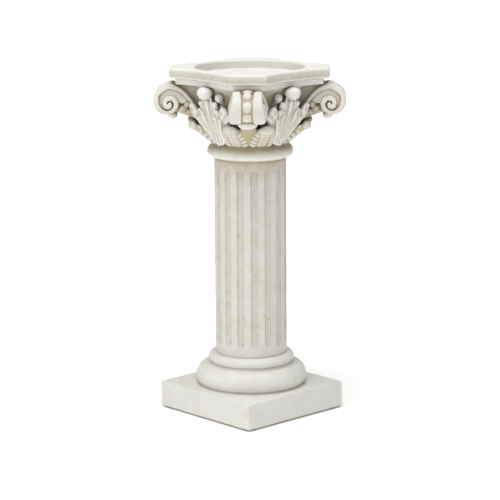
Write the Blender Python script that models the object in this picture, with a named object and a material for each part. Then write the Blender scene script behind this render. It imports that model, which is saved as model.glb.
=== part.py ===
"""A free-standing Roman column pedestal: one casting on four rubber feet.

The casting is a square plinth, a base of two tori, a fluted shaft, and a capital whose bell carries two
rows of acanthus leaves, four corner volutes and a square top slab with a round well. It is modelled as
separate closed forms that one Boolean joins into a single body.

Metres, +Z up. The origin is on the floor under the middle of the plinth, whose sides run along X and Y.
The column is seen by its corner, so every form is placed by its angle from a corner. Sizes are lengths.
Carving is drawn in shares: of the leaf's reach and spread, of the bell's height, or of the volute's height.
"""

import math

import bmesh
import bpy
from mathutils import Vector

# Plinth and feet
PLINTH_SIDE = 0.2286
PLINTH_HEIGHT = 0.0448
PLINTH_ROUNDING = 0.0016
FOOT_DIAMETER = 0.023
FOOT_HEIGHT = 0.0025
FOOT_INSET = 0.0175
FOOT_GAP = 0.0003

# Base: a wide torus, a scotia groove and a narrow torus
LOWER_TORUS_RADIUS = 0.0978
LOWER_TORUS_HEIGHT = 0.0355
GROOVE_RADIUS = 0.0735
GROOVE_HEIGHT = 0.0039
UPPER_TORUS_RADIUS = 0.0754
UPPER_TORUS_HEIGHT = 0.0175

# Fluted shaft
SHAFT_RADIUS = 0.0627
SHAFT_LENGTH = 0.3445
FLUTES = 16
FLUTE_WIDTH = 0.0121
FLUTE_DEPTH = 0.0026
FLUTE_LOW_MARGIN = 0.0190
FLUTE_HIGH_MARGIN = 0.0135
FIRST_FLUTE = math.radians(7.5)

# Astragal and bell
ASTRAGAL_RADIUS = 0.0752
ASTRAGAL_HEIGHT = 0.0315
BELL_HEIGHT = 0.1008
BELL_FOOT_RADIUS = 0.0600
BELL_LIP_RADIUS = 0.0960

# Top: a fascia and a slab, each an octagon with hollow sides, and the round well
FASCIA_HEIGHT = 0.0115
FASCIA_INSET = 0.0100
SLAB_HEIGHT = 0.0168
SLAB_CORNER = 0.1378
SLAB_CHAMFER = 0.0650
SLAB_HOLLOW = 0.0100
SLAB_ROUNDING = 0.0022
WELL_RADIUS = 0.0955
WELL_DEPTH = 0.0150
WELL_ROUNDING = 0.0022

# Tall leaves: how far the fingers reach out and spread, and the curled tip under the fascia
LEAF_THICKNESS = 0.0090
LEAF_ROOT = 0.0030
UPPER_LEAF_REACH = 0.0370
UPPER_LEAF_SPREAD = 0.0400
TIP_WIDTH = 0.0280
TIP_DEPTH = 0.0240
TIP_HEIGHT = 0.0190
TIP_PROUD = 0.0150
TIP_DROP = 0.0090

# Short leaves and buds
LOWER_LEAF_REACH = 0.0420
LOWER_LEAF_WIDTH = 0.0440
LOWER_LEAF_ANGLE = math.radians(15)
BUD_RADIUS = 0.0080
BUD_PROUD = 0.0085
BUD_ANGLE = math.radians(12.5)

# Corner volutes: two splayed spiral bands with beads between them and a tongue below
VOLUTE_HEIGHT = 0.0545
VOLUTE_REACH = 0.0277
VOLUTE_WIDTH = 0.0438
VOLUTE_SPLAY = math.radians(12)
BAND_THICKNESS = 0.0117
BEAD_DIAMETER = 0.0175
TONGUE_WIDTH = 0.0320
TONGUE_DEPTH = 0.0170
TONGUE_HEIGHT = 0.0136
LOBE_WIDTH = 0.0140

# The spiral's outer radius and the band's width at each quarter turn from the top
SPIRAL_RADII = (0.665, 0.475, 0.330, 0.320, 0.300, 0.242, 0.172, 0.132, 0.095)
BAND_WIDTHS = (0.135, 0.138, 0.135, 0.160, 0.155, 0.130, 0.110, 0.115, 0.080)
EYE_BACK = 0.475

# A small ledge where one form meets the next, and how deep a form is let in so that the Boolean joins them
LEDGE = 0.0012
LET_IN = 0.0040
SAME_POINT = 1e-6
THINNED = 0.65
ROUND = 40
SEAM = math.radians(4)
CORNER = -math.pi / 4
QUARTER = math.pi / 2
SMOOTH_UNDER = math.radians(35)

# Heights that follow from the sizes above
plinth_foot = FOOT_HEIGHT + FOOT_GAP
plinth_top = plinth_foot + PLINTH_HEIGHT
groove_foot = plinth_top + LOWER_TORUS_HEIGHT
upper_torus_foot = groove_foot + GROOVE_HEIGHT
shaft_foot = upper_torus_foot + UPPER_TORUS_HEIGHT
shaft_top = shaft_foot + SHAFT_LENGTH
bell_foot = shaft_top + ASTRAGAL_HEIGHT
bell_top = bell_foot + BELL_HEIGHT
slab_foot = bell_top + FASCIA_HEIGHT
slab_top = slab_foot + SLAB_HEIGHT


def clear_scene():
    for item in list(bpy.data.objects):
        bpy.data.objects.remove(item, do_unlink=True)


def finish(name, color, roughness):
    """A plain opaque material for one kind of piece."""
    material = bpy.data.materials.new(name)
    material.use_nodes = True
    shader = material.node_tree.nodes["Principled BSDF"]
    shader.inputs["Base Color"].default_value = (*color, 1)
    shader.inputs["Roughness"].default_value = roughness
    shader.inputs["Metallic"].default_value = 0
    return material


def make_object(name, form, material):
    """Turns a bmesh of closed bodies into an object whose faces are triangles that point outwards."""
    bmesh.ops.triangulate(form, faces=form.faces)
    bmesh.ops.recalc_face_normals(form, faces=form.faces)
    mesh = bpy.data.meshes.new(name)
    form.to_mesh(mesh)
    form.free()
    mesh.materials.append(material)
    item = bpy.data.objects.new(name, mesh)
    bpy.context.collection.objects.link(item)
    return item


def hide_helper(item):
    item.hide_render = True
    item.display_type = "WIRE"


def shade(item):
    """Smooth shading that keeps the carving's sharp edges."""
    item.data.shade_smooth()
    item.data.set_sharp_from_angle(angle=SMOOTH_UNDER)


def arc(centre, radii, start, end, steps):
    """Points of an ellipse's arc in the (r, z) plane, from one angle to the other, in degrees."""
    points = []
    for i in range(steps + 1):
        angle = math.radians(start + (end - start) * i / steps)
        points.append((centre[0] + radii[0] * math.cos(angle), centre[1] + radii[1] * math.sin(angle)))
    return points


def smooth(points, steps=2):
    """A Catmull-Rom curve through a few points of any dimension, with this many steps in each span."""
    ends = [points[0], *points, points[-1]]
    found = []
    for a, b, c, d in zip(ends, ends[1:], ends[2:], ends[3:]):
        for i in range(steps):
            t = i / steps
            found.append(tuple(
                0.5 * (2 * q + (r - p) * t + (2 * p - 5 * q + 4 * r - s) * t * t
                       + (3 * q - p - 3 * r + s) * t ** 3)
                for p, q, r, s in zip(a, b, c, d)
            ))
    return [*found, tuple(points[-1])]


def between(values, place):
    """Reads a row of values at a place that may fall between two of them."""
    low = min(int(place), len(values) - 2)
    return values[low] + (values[low + 1] - values[low]) * (place - low)


def skin(form, rings):
    """Adds one closed body through rings of equal length, with a flat cap at each end."""
    rows = [[form.verts.new(point) for point in ring] for ring in rings]
    for low, high in zip(rows, rows[1:]):
        for i in range(len(low)):
            j = (i + 1) % len(low)
            form.faces.new((low[i], low[j], high[j], high[i]))
    form.faces.new(rows[0][::-1])
    form.faces.new(rows[-1])


def turn(form, profile, segments=ROUND):
    """Adds a turned body. The profile runs up its outside, from the axis to the axis.

    It starts at the seam's angle, where no leaf has its ridge.
    """
    before = len(form.verts)
    outward, _ = along(SEAM)
    verts = [form.verts.new(outward * r + up(z)) for r, z in profile]
    edges = [form.edges.new(pair) for pair in zip(verts, verts[1:])]
    bmesh.ops.spin(
        form, geom=verts + edges, cent=(0, 0, 0), axis=(0, 0, 1),
        angle=2 * math.pi, steps=segments, use_merge=True,
    )
    form.verts.ensure_lookup_table()
    bmesh.ops.remove_doubles(form, verts=form.verts[before:], dist=SAME_POINT)


def along(angle):
    """Outward and sideways directions at an angle around the column."""
    outward = Vector((math.cos(angle), math.sin(angle), 0))
    return outward, Vector((-outward.y, outward.x, 0))


def up(height):
    return Vector((0, 0, height))


def bell_radius(share):
    """The bell's radius at a share of its height: it widens faster towards its lip."""
    share = min(max(share, 0), 1)
    return BELL_FOOT_RADIUS + (BELL_LIP_RADIUS - BELL_FOOT_RADIUS) * share ** 1.6


def strip(form, points, widths, thicknesses, sideways, crown=0.0, sides=6):
    """Adds a flattened rounded bar along 3D points, with a half width and half thickness at each point.

    Its edges bend back by crown times the half width, as a leaf's do.
    """
    rings = []
    last = len(points) - 1
    for i, point in enumerate(points):
        ahead = (points[min(i + 1, last)] - points[max(i - 1, 0)]).normalized()
        across = (sideways - sideways.dot(ahead) * ahead).normalized()
        outward = across.cross(ahead)
        ring = []
        for k in range(sides):
            turned = 2 * math.pi * k / sides
            side = math.cos(turned)
            lift = thicknesses[i] * math.sin(turned) - crown * widths[i] * side * side
            ring.append(point + across * widths[i] * side + outward * lift)
        rings.append(ring)
    skin(form, rings)


def ball(form, centre, size, angle=0.0):
    """Adds an egg with its own depth, width and height, turned about the vertical."""
    found = bmesh.ops.create_uvsphere(form, u_segments=8, v_segments=5, radius=0.5)
    outward, sideways = along(angle)
    for vert in found["verts"]:
        deep, wide, high = (part * whole for part, whole in zip(vert.co, size))
        vert.co = centre + outward * deep + sideways * wide + up(high)


def octagon(corner, chamfer, hollow, height, inset, steps=6):
    """A square with cut corners and hollow sides, at a height. Inset moves every edge inwards."""
    reach = corner - inset
    half = chamfer / 2 - inset * math.tan(math.pi / 8)
    near = (reach - half) / math.sqrt(2)
    far = (reach + half) / math.sqrt(2)
    ring = []
    for quarter in range(4):
        outward, sideways = along(quarter * QUARTER)
        for i in range(steps + 1):
            t = 2 * i / steps - 1
            out = far - hollow * (1 - abs(t) ** 2.2)
            ring.append(outward * out + sideways * near * t + up(height))
    return ring


def add_base(form):
    """The lower torus, the scotia groove and the upper torus, on the plinth."""
    belly = plinth_top + LOWER_TORUS_HEIGHT * 0.38
    cushion = LOWER_TORUS_HEIGHT * 0.56
    middle = (LOWER_TORUS_RADIUS - cushion, belly)
    lower = arc(middle, (cushion, LOWER_TORUS_HEIGHT * 0.42), -65, 0, 2)
    lower += arc(middle, (cushion, LOWER_TORUS_HEIGHT * 0.67), 0, 68, 3)[1:]
    ring = UPPER_TORUS_HEIGHT / 2
    upper = arc((UPPER_TORUS_RADIUS - ring, upper_torus_foot + ring), (ring, ring), -62, 68, 4)
    let_in = plinth_top - LET_IN
    profile = [(0, let_in), (lower[0][0], let_in)]
    profile += lower
    profile += [(GROOVE_RADIUS, groove_foot + GROOVE_HEIGHT * 0.4), (GROOVE_RADIUS - LEDGE, upper_torus_foot)]
    profile += upper
    profile += [(SHAFT_RADIUS + LEDGE, shaft_foot), (0, shaft_foot)]
    turn(form, profile)


def add_shaft(form):
    """The shaft as rings of four points to a flute, whose edges close in to round each flute's ends."""
    half = FLUTE_WIDTH / 2 / SHAFT_RADIUS
    rounded = FLUTE_WIDTH / 2
    low = shaft_foot + FLUTE_LOW_MARGIN
    high = shaft_top - FLUTE_HIGH_MARGIN
    narrow = 0.45
    stations = [(shaft_foot - LET_IN, 1, 0), (low, narrow, 0), (low + rounded, 1, 1)]
    stations += [(high - rounded, 1, 1), (high, narrow, 0), (shaft_top + LET_IN, 1, 0)]
    rings = []
    for height, open_share, depth_share in stations:
        ring = []
        for flute in range(FLUTES):
            middle = CORNER + FIRST_FLUTE + 2 * math.pi * flute / FLUTES
            for side, sunk in ((-1, 0), (-0.5, 1), (0.5, 1), (1, 0)):
                outward, _ = along(middle + side * half * open_share)
                radius = SHAFT_RADIUS - sunk * depth_share * FLUTE_DEPTH
                ring.append(outward * radius + up(height))
        rings.append(ring)
    skin(form, rings)


def add_bell(form):
    """The astragal under the leaves, and the bell behind them."""
    swell = ASTRAGAL_RADIUS - SHAFT_RADIUS
    middle = (ASTRAGAL_RADIUS - 0.9 * swell, shaft_top + ASTRAGAL_HEIGHT * 0.44)
    profile = [(0, shaft_top), (SHAFT_RADIUS + 0.15 * swell, shaft_top)]
    profile += arc(middle, (0.9 * swell, ASTRAGAL_HEIGHT * 0.40), -75, 62, 4)
    profile += [(ASTRAGAL_RADIUS - 0.75 * swell, bell_foot), (0, bell_foot)]
    turn(form, profile)
    profile = [(0, bell_foot - LET_IN), (bell_radius(0), bell_foot - LET_IN)]
    for share in (0.2, 0.6, 1):
        profile.append((bell_radius(share), bell_foot + BELL_HEIGHT * share))
    profile += [(BELL_LIP_RADIUS, bell_top + LET_IN), (0, bell_top + LET_IN)]
    turn(form, profile, 24)


def add_top(form):
    """The fascia and the slab over it."""
    fascia = SLAB_CORNER - FASCIA_INSET
    narrow = SLAB_CHAMFER - 1.5 * FASCIA_INSET
    shallow = SLAB_HOLLOW * 0.85
    levels = ((bell_top, LEDGE), (bell_top + LEDGE, 0), (slab_foot + LET_IN, 0))
    skin(form, [octagon(fascia, narrow, shallow, height, inset) for height, inset in levels])
    curve = 0.3 * SLAB_ROUNDING
    levels = (
        (slab_foot, SLAB_ROUNDING), (slab_foot + SLAB_ROUNDING, 0), (slab_top - SLAB_ROUNDING, 0),
        (slab_top - curve, curve), (slab_top, SLAB_ROUNDING),
    )
    skin(form, [octagon(SLAB_CORNER, SLAB_CHAMFER, SLAB_HOLLOW, height, inset) for height, inset in levels])


def on_bell(angle, path):
    """3D points of a leaf's line, whose path holds (sideways, outward from the bell, share of its height)."""
    points = []
    for aside, proud, share in path:
        radius = bell_radius(share) + proud
        outward, _ = along(angle + aside / radius)
        points.append(outward * radius + up(bell_foot + share * BELL_HEIGHT))
    return points


def add_finger(form, angle, path, widths, depths, crown=0.0):
    """One lobe of a leaf: a rounded bar along a smooth line on the bell, in the leaf's own shares."""
    _, sideways = along(angle)
    strip(form, on_bell(angle, smooth(path)), widths, [LEAF_THICKNESS / 2 * share for share in depths],
          sideways, crown)


def add_upper_leaf(form, angle):
    """A tall leaf on the middle of a side: a midrib, two fingers and two inner lobes, and a curled tip."""
    reach = UPPER_LEAF_REACH
    spread = UPPER_LEAF_SPREAD
    widths = [share * spread for share in (0.18, 0.32, 0.44, 0.52, 0.52, 0.46, 0.40, 0.33, 0.25)]
    rib = [(0, LEAF_ROOT, -0.02), (0, 0.30 * reach, 0.25), (0, 0.46 * reach, 0.52)]
    rib += [(0, 0.40 * reach, 0.76), (0, 0.25 * reach, 0.90)]
    add_finger(form, angle, rib, widths, [1] * len(widths), crown=0.10)
    outward, _ = along(angle)
    high = bell_top - TIP_DROP
    tip = outward * (bell_radius((high - bell_foot) / BELL_HEIGHT) + TIP_PROUD) + up(high)
    ball(form, tip, (TIP_DEPTH, TIP_WIDTH, TIP_HEIGHT), angle)
    for side in (-spread, spread):
        finger = [(0.04 * side, 0.26 * reach, 0.08), (0.36 * side, 0.58 * reach, 0.36)]
        finger += [(0.72 * side, 0.76 * reach, 0.56), (1.0 * side, 0.86 * reach, 0.71)]
        widths = [share * spread for share in (0.15, 0.26, 0.33, 0.36, 0.35, 0.29, 0.16)]
        add_finger(form, angle, finger, widths, (1, 1.1, 1.2, 1.2, 1.2, 1.2, 0.7))
        lobe = [(0.06 * side, 0.24 * reach, 0.22), (0.24 * side, 0.62 * reach, 0.42)]
        lobe += [(0.44 * side, 0.78 * reach, 0.62)]
        widths = [share * spread for share in (0.12, 0.16, 0.26, 0.25, 0.14)]
        add_finger(form, angle, lobe, widths, (1, 1.1, 1.2, 1.2, 0.7))


def add_lower_leaf(form, angle):
    """A short broad leaf that leans out over the astragal, notched between its lobes, with a curled tip."""
    reach = LOWER_LEAF_REACH
    path = [(0, LEAF_ROOT, -0.03), (0, 0.30 * reach, 0.08), (0, 0.60 * reach, 0.20)]
    path += [(0, 0.83 * reach, 0.31), (0, 0.98 * reach, 0.41)]
    shares = (0.72, 1.06, 0.80, 1.02, 0.76, 0.90, 0.56, 0.56, 0.36)
    widths = [share * LOWER_LEAF_WIDTH / 2 for share in shares]
    add_finger(form, angle, path, widths, (0.9, 1.1, 1, 1.2, 1, 1.2, 1.2, 2.1, 1.4), crown=0.30)


def add_bud(form, angle):
    """A bud on a stalk that grows from the bell beside the tall leaf's tip."""
    _, sideways = along(angle)
    path = [(0, -LET_IN, 0.70), (0, 0.3 * BUD_PROUD, 0.76), (0, 0.9 * BUD_PROUD, 0.81)]
    path += [(0, 1.6 * BUD_PROUD, 0.845)]
    sizes = [share * BUD_RADIUS for share in (0.6, 0.85, 1, 0.55)]
    strip(form, on_bell(angle, path), sizes, sizes, sideways)


def add_volute(form, angle):
    """A corner scroll: two splayed spiral bands on a thinner core, with beads between and a tongue below."""
    outward, sideways = along(angle)
    height = VOLUTE_HEIGHT
    rim = SLAB_CORNER + VOLUTE_REACH
    eye_out = rim - EYE_BACK * height
    eye_high = bell_top + LEDGE - SPIRAL_RADII[0] * height

    def spot(out, high):
        """A place in shares of the height from the spiral's eye, as (distance from the axis, z)."""
        return eye_out + out * height, eye_high + high * height

    def polar(quarters, radius):
        turned = QUARTER * (1 - quarters)
        return spot(radius * math.cos(turned), radius * math.sin(turned))

    def place(at, side, deep):
        """A point on a band's outer face, or this deep under it."""
        out, high = at
        lateral = VOLUTE_WIDTH / 2 + (rim - out) * math.tan(VOLUTE_SPLAY) - deep
        return outward * out + sideways * side * lateral + up(high)

    strap = ((-0.98, 0.065, 0.12), (-0.76, 0.285, 0.12), (-0.54, 0.505, 0.13), (-0.28, 0.665, 0.135))
    turns = [i / 2 for i in range(16)]
    edges = [(spot(out, high), spot(out - 0.5 * wide, high - 0.9 * wide)) for out, high, wide in strap]
    for quarters in turns:
        radius = between(SPIRAL_RADII, quarters)
        edges.append((polar(quarters, radius), polar(quarters, radius - between(BAND_WIDTHS, quarters))))
    lobe = ((-0.80, -0.42, 1.0), (-0.62, -0.22, 0.25), (-0.50, 0.0, 0.1), (-0.50, 0.18, 0.35))
    lobe_widths = [share * LOBE_WIDTH / 2 for share in (0.70, 1, 0.85, 0.45)]
    lobe_depths = [share * LOBE_WIDTH / 2 for share in (0.70, 0.85, 0.70, 0.45)]
    for side in (-1, 1):
        skin(form, [
            [place(outer, side, 0), place(inner, side, 0),
             place(inner, side, BAND_THICKNESS), place(outer, side, BAND_THICKNESS)]
            for outer, inner in edges
        ])
        points = [place(spot(out, high), side, deep * BAND_THICKNESS) for out, high, deep in lobe]
        strip(form, points, lobe_widths, lobe_depths, outward * side)

    coil = [polar(quarters, 0.70 * between(SPIRAL_RADII, quarters)) for quarters in (0, 0.5, 1, 1.5, 2, 3)]
    skin(form, [[place(at, side, 0.38 * BAND_THICKNESS) for at in coil] for side in (-1, 1)])
    under = -0.31
    back = bell_radius(0.30)
    web = [
        (spot(0.08, 0)[0], bell_top + LET_IN), spot(0.08, under), spot(-0.30, under),
        (back, bell_foot + 0.30 * BELL_HEIGHT), (back - 2 * LET_IN, bell_foot + 0.34 * BELL_HEIGHT),
        (BELL_LIP_RADIUS - 4 * LET_IN, bell_top + LET_IN),
    ]
    skin(form, [[place(at, side, 0.85 * BAND_THICKNESS) for at in web] for side in (-1, 1)])
    for quarters, radius in ((0.18, 0.545), (0.62, 0.40), (1.22, 0.34)):
        out, high = polar(quarters, radius)
        ball(form, outward * out + up(high), [BEAD_DIAMETER] * 3)
    out, high = spot(-0.14, -0.40)
    ball(form, outward * out + up(high), (TONGUE_DEPTH, TONGUE_WIDTH, TONGUE_HEIGHT), angle)


def add_plinth(form):
    """The square block under the base, with its edges slightly rounded."""
    bmesh.ops.create_cube(form, size=1)
    middle = plinth_foot + PLINTH_HEIGHT / 2
    for vert in form.verts:
        x, y, z = vert.co
        vert.co = (x * PLINTH_SIDE, y * PLINTH_SIDE, middle + z * PLINTH_HEIGHT)
    bmesh.ops.bevel(form, geom=form.edges, offset=PLINTH_ROUNDING, segments=1, affect="EDGES")


def add_well(form):
    """The round well's space, whose mouth widens at 45 degrees through the slab's top."""
    floor = slab_top - WELL_DEPTH
    widened = WELL_ROUNDING + LET_IN
    turn(form, [
        (0, floor), (WELL_RADIUS - WELL_ROUNDING, floor), (WELL_RADIUS, floor + WELL_ROUNDING),
        (WELL_RADIUS, slab_top - WELL_ROUNDING), (WELL_RADIUS + widened, slab_top + LET_IN),
        (0, slab_top + LET_IN),
    ])


def add_column(material):
    """The whole casting as one body."""
    block = bmesh.new()
    add_plinth(block)
    column = make_object("column", block, material)

    forms = bmesh.new()
    add_base(forms)
    add_shaft(forms)
    add_bell(forms)
    add_top(forms)
    for quarter in range(4):
        corner = CORNER + quarter * QUARTER
        side = corner + QUARTER / 2
        add_volute(forms, corner)
        add_upper_leaf(forms, side)
        for way in (-1, 1):
            add_lower_leaf(forms, corner + way * LOWER_LEAF_ANGLE)
            add_bud(forms, side + way * BUD_ANGLE)
    carved = make_object("carved_forms", forms, material)
    hide_helper(carved)
    join = column.modifiers.new("join the forms", "BOOLEAN")
    join.operation = "UNION"
    join.object = carved
    join.use_self = True

    hollow = bmesh.new()
    add_well(hollow)
    well = make_object("well_cutter", hollow, material)
    hide_helper(well)
    cut = column.modifiers.new("cut the well", "BOOLEAN")
    cut.operation = "DIFFERENCE"
    cut.object = well
    thin = column.modifiers.new("thin out slivers", "DECIMATE")
    thin.ratio = THINNED
    shade(column)


def add_feet(material):
    """Four low rubber buttons, one near each corner of the plinth's underside."""
    distance = (PLINTH_SIDE / 2 - FOOT_INSET) * math.sqrt(2)
    for quarter, name in enumerate(("front", "right", "back", "left")):
        outward, _ = along(CORNER + quarter * QUARTER)
        disc = bmesh.new()
        bmesh.ops.create_cone(
            disc, cap_ends=True, segments=24, radius1=FOOT_DIAMETER / 2,
            radius2=FOOT_DIAMETER / 2, depth=FOOT_HEIGHT,
        )
        foot = make_object("foot_" + name, disc, material)
        foot.location = outward * distance + up(FOOT_HEIGHT / 2)
        shade(foot)


clear_scene()
add_column(finish("cast stone", (0.79, 0.77, 0.71), 0.62))
add_feet(finish("black rubber", (0.02, 0.02, 0.02), 0.85))
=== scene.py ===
"""Looks of a Roman column pedestal: an off-white cast with a tan wash rubbed into its carving.

The camera and the light come first, then the rubber feet and the stone finish, then the casting from the
floor up: plinth, base, fluted shaft, collar and bell, top slab, corner volutes, leaves, and buds with the
stems. Metres, +Z up.
"""

import math

import bpy
import numpy as np
from mathutils import Matrix, Vector


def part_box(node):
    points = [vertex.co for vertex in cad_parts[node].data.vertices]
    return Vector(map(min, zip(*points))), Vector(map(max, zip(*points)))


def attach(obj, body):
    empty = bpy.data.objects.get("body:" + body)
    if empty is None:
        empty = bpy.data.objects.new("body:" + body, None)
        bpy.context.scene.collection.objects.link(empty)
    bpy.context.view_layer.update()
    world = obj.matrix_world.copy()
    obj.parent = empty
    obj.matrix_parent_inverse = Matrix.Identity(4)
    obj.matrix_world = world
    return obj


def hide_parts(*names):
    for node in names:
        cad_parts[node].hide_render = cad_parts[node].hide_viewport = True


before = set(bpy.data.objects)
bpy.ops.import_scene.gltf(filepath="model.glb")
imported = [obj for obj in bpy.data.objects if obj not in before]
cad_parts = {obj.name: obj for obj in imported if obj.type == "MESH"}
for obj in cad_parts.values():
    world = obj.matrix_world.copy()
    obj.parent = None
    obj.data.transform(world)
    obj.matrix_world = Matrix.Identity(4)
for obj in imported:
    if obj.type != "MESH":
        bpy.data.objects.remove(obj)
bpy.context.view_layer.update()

# Camera
# The picture is taken from a little above the slab, facing the front corner, with a long lens.
# Distance and height were worked out from the plinth's and the slab's edges. Angles are in radians.
PLINTH_SIDE = 0.2286
PLINTH_LIFT = 0.0028
DISTANCE = 15.60 * PLINTH_SIDE
EYE_HEIGHT = 4.4413 * PLINTH_SIDE + PLINTH_LIFT
PAST_CORNER = 0.030
TURN = math.pi / 4 + PAST_CORNER
TILT_DOWN = 0.2026
SWING = 0.0004
LEAN = 0.0055
FOCAL_LENGTH_MM = 149.14
SENSOR_WIDTH_MM = 36
SIGHT_RANGE = 30

camera = bpy.data.objects.new("camera", bpy.data.cameras.new("camera"))
camera.data.sensor_width = SENSOR_WIDTH_MM
camera.data.lens = FOCAL_LENGTH_MM
camera.data.clip_end = SIGHT_RANGE
stand = Matrix.Rotation(TURN, 4, "Z") @ Matrix.Translation((0, -DISTANCE, EYE_HEIGHT))
aim = Matrix.Rotation(SWING, 4, "Z") @ Matrix.Rotation(math.pi / 2 - TILT_DOWN, 4, "X")
camera.matrix_world = stand @ aim @ Matrix.Rotation(-LEAN, 4, "Z")
bpy.context.scene.collection.objects.link(camera)
bpy.context.scene.camera = camera

# Floor and light
# A white paper sweep that glows a little more towards its far parts, in a bright white room, with a large
# soft lamp overhead and a weaker one low in front on the left, so that the left faces are the lighter ones.
FLOOR_HALF = 12.0
ROOM_LIGHT = 0.42
WHITE = (1, 1, 1, 1)
PAPER_WHITE = (0.97, 0.97, 0.97, 1)
NEAR_GLOW = 0.08
FAR_GLOW = 0.60
GLOW_FROM = 0.3
GLOW_TO = 3.5
LAMP_AIM = Vector((0, 0, 0.35))

floor_mesh = bpy.data.meshes.new("floor")
floor_mesh.from_pydata([(-1, -1, 0), (1, -1, 0), (1, 1, 0), (-1, 1, 0)], [], [(0, 1, 2, 3)])
floor_mesh.transform(Matrix.Scale(FLOOR_HALF, 4))
floor = bpy.data.objects.new("floor", floor_mesh)
bpy.context.scene.collection.objects.link(floor)
paper = bpy.data.materials.new("white sweep")
paper.use_nodes = True
nodes, links = paper.node_tree.nodes, paper.node_tree.links
shader = nodes["Principled BSDF"]
shader.inputs["Base Color"].default_value = PAPER_WHITE
shader.inputs["Roughness"].default_value = 0.9
shader.inputs["Specular IOR Level"].default_value = 0.1
shader.inputs["Emission Color"].default_value = WHITE
where = nodes.new("ShaderNodeTexCoord")
distance = nodes.new("ShaderNodeVectorMath")
distance.operation = "LENGTH"
glow = nodes.new("ShaderNodeMapRange")
glow.inputs["From Min"].default_value = GLOW_FROM
glow.inputs["From Max"].default_value = GLOW_TO
glow.inputs["To Min"].default_value = NEAR_GLOW
glow.inputs["To Max"].default_value = FAR_GLOW
links.new(where.outputs["Object"], distance.inputs[0])
links.new(distance.outputs["Value"], glow.inputs["Value"])
links.new(glow.outputs["Result"], shader.inputs["Emission Strength"])
floor.data.materials.append(paper)

room = bpy.data.worlds.new("white room")
room.use_nodes = True
backdrop = room.node_tree.nodes["Background"]
backdrop.inputs["Color"].default_value = WHITE
backdrop.inputs["Strength"].default_value = ROOM_LIGHT
bpy.context.scene.world = room
bpy.context.scene.view_settings.view_transform = "Standard"


def soft_lamp(name, bearing, height, far, size, power):
    """A square lamp aimed at the column, at a bearing in degrees to the right of the camera's own.

    It stands this far from the column's axis, at the camera's angle turned by the bearing.
    """
    data = bpy.data.lights.new(name, "AREA")
    data.energy = power
    data.size = size
    lamp = bpy.data.objects.new(name, data)
    angle = TURN - math.pi / 2 + math.radians(bearing)
    lamp.location = (far * math.cos(angle), far * math.sin(angle), height)
    lamp.rotation_euler = (LAMP_AIM - lamp.location).to_track_quat("-Z", "Y").to_euler()
    bpy.context.scene.collection.objects.link(lamp)


soft_lamp("lamp overhead", bearing=-14, height=4.6, far=0.9, size=3.0, power=184)
soft_lamp("lamp in front", bearing=-32, height=0.9, far=3.2, size=1.6, power=18)

# Rubber feet
# Four black rubber buttons glued under the plinth's corners, moulded and slightly dusty. They keep
# their solids, so here they only get their finish.
RUBBER_BLACK = (0.012, 0.012, 0.012, 1)
RUBBER_DUSTY = (0.045, 0.043, 0.040, 1)
DUST_SCALE = 420
DUST_HEIGHT = 0.0004

rubber = bpy.data.materials.new("black rubber")
rubber.use_nodes = True
nodes, links = rubber.node_tree.nodes, rubber.node_tree.links
shader = nodes["Principled BSDF"]
where = nodes.new("ShaderNodeTexCoord")
dust = nodes.new("ShaderNodeTexNoise")
dust.inputs["Scale"].default_value = DUST_SCALE
dust.inputs["Detail"].default_value = 5
tint = nodes.new("ShaderNodeValToRGB")
tint.color_ramp.elements[0].color = RUBBER_BLACK
tint.color_ramp.elements[1].color = RUBBER_DUSTY
grain = nodes.new("ShaderNodeBump")
grain.inputs["Strength"].default_value = 0.3
grain.inputs["Distance"].default_value = DUST_HEIGHT
links.new(where.outputs["Object"], dust.inputs["Vector"])
links.new(dust.outputs["Fac"], tint.inputs["Fac"])
links.new(tint.outputs["Color"], shader.inputs["Base Color"])
links.new(dust.outputs["Fac"], grain.inputs["Height"])
links.new(grain.outputs["Normal"], shader.inputs["Normal"])
shader.inputs["Roughness"].default_value = 0.8
for corner_name in ("front", "right", "back", "left"):
    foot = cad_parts["foot_" + corner_name]
    foot.data.materials.clear()
    foot.data.materials.append(rubber)

# Cast stone finish
# Filled resin cast in a rubber mould, painted off-white, then rubbed with a thin tan-brown glaze that
# stays in every recess. The attribute "wash" says how much glaze a spot holds beyond what its depth gives.
# The most shut-in spots are darkened further towards near black: painted shade over the glaze.
STONE = (0.700, 0.694, 0.652, 1)
GLAZE = (0.420, 0.362, 0.242, 1)
DEEP_GLAZE_AND_SHADE = (0.080, 0.056, 0.026, 1)
RECESS = 0.012
FILLS_OVER = (0.22, 0.95)
FULL_COVER = 0.72
GLAZE_AND_SHADE_DARKEN_OVER = (0.80, 1.16)
DARKEST_GLAZE_AND_SHADE = 0.62
PATCH_SCALE = 95
PATCH_AMOUNTS = (0.80, 1.18)
MOTTLE_SCALE = 38
MOTTLE_MOST = 0.12
SAND_SCALE = 520
SAND_HEIGHT = 0.0006

stone = bpy.data.materials.new("cast stone")
stone.use_nodes = True
nodes, links = stone.node_tree.nodes, stone.node_tree.links
shader = nodes["Principled BSDF"]
shader.inputs["Roughness"].default_value = 0.62
shader.inputs["Specular IOR Level"].default_value = 0.35
where = nodes.new("ShaderNodeTexCoord")


def noise(scale, detail, rough=0.55):
    """Soft noise on object coordinates, from 0 to 1."""
    node = nodes.new("ShaderNodeTexNoise")
    node.inputs["Scale"].default_value = scale
    node.inputs["Detail"].default_value = detail
    node.inputs["Roughness"].default_value = rough
    links.new(where.outputs["Object"], node.inputs["Vector"])
    return node.outputs["Fac"]


def combine(operation, a, b, clamp=False):
    """One Math node, whose inputs are sockets or numbers."""
    node = nodes.new("ShaderNodeMath")
    node.operation = operation
    node.use_clamp = clamp
    for socket, value in zip(node.inputs, (a, b)):
        if isinstance(value, (int, float)):
            socket.default_value = value
        else:
            links.new(value, socket)
    return node.outputs[0]


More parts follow.
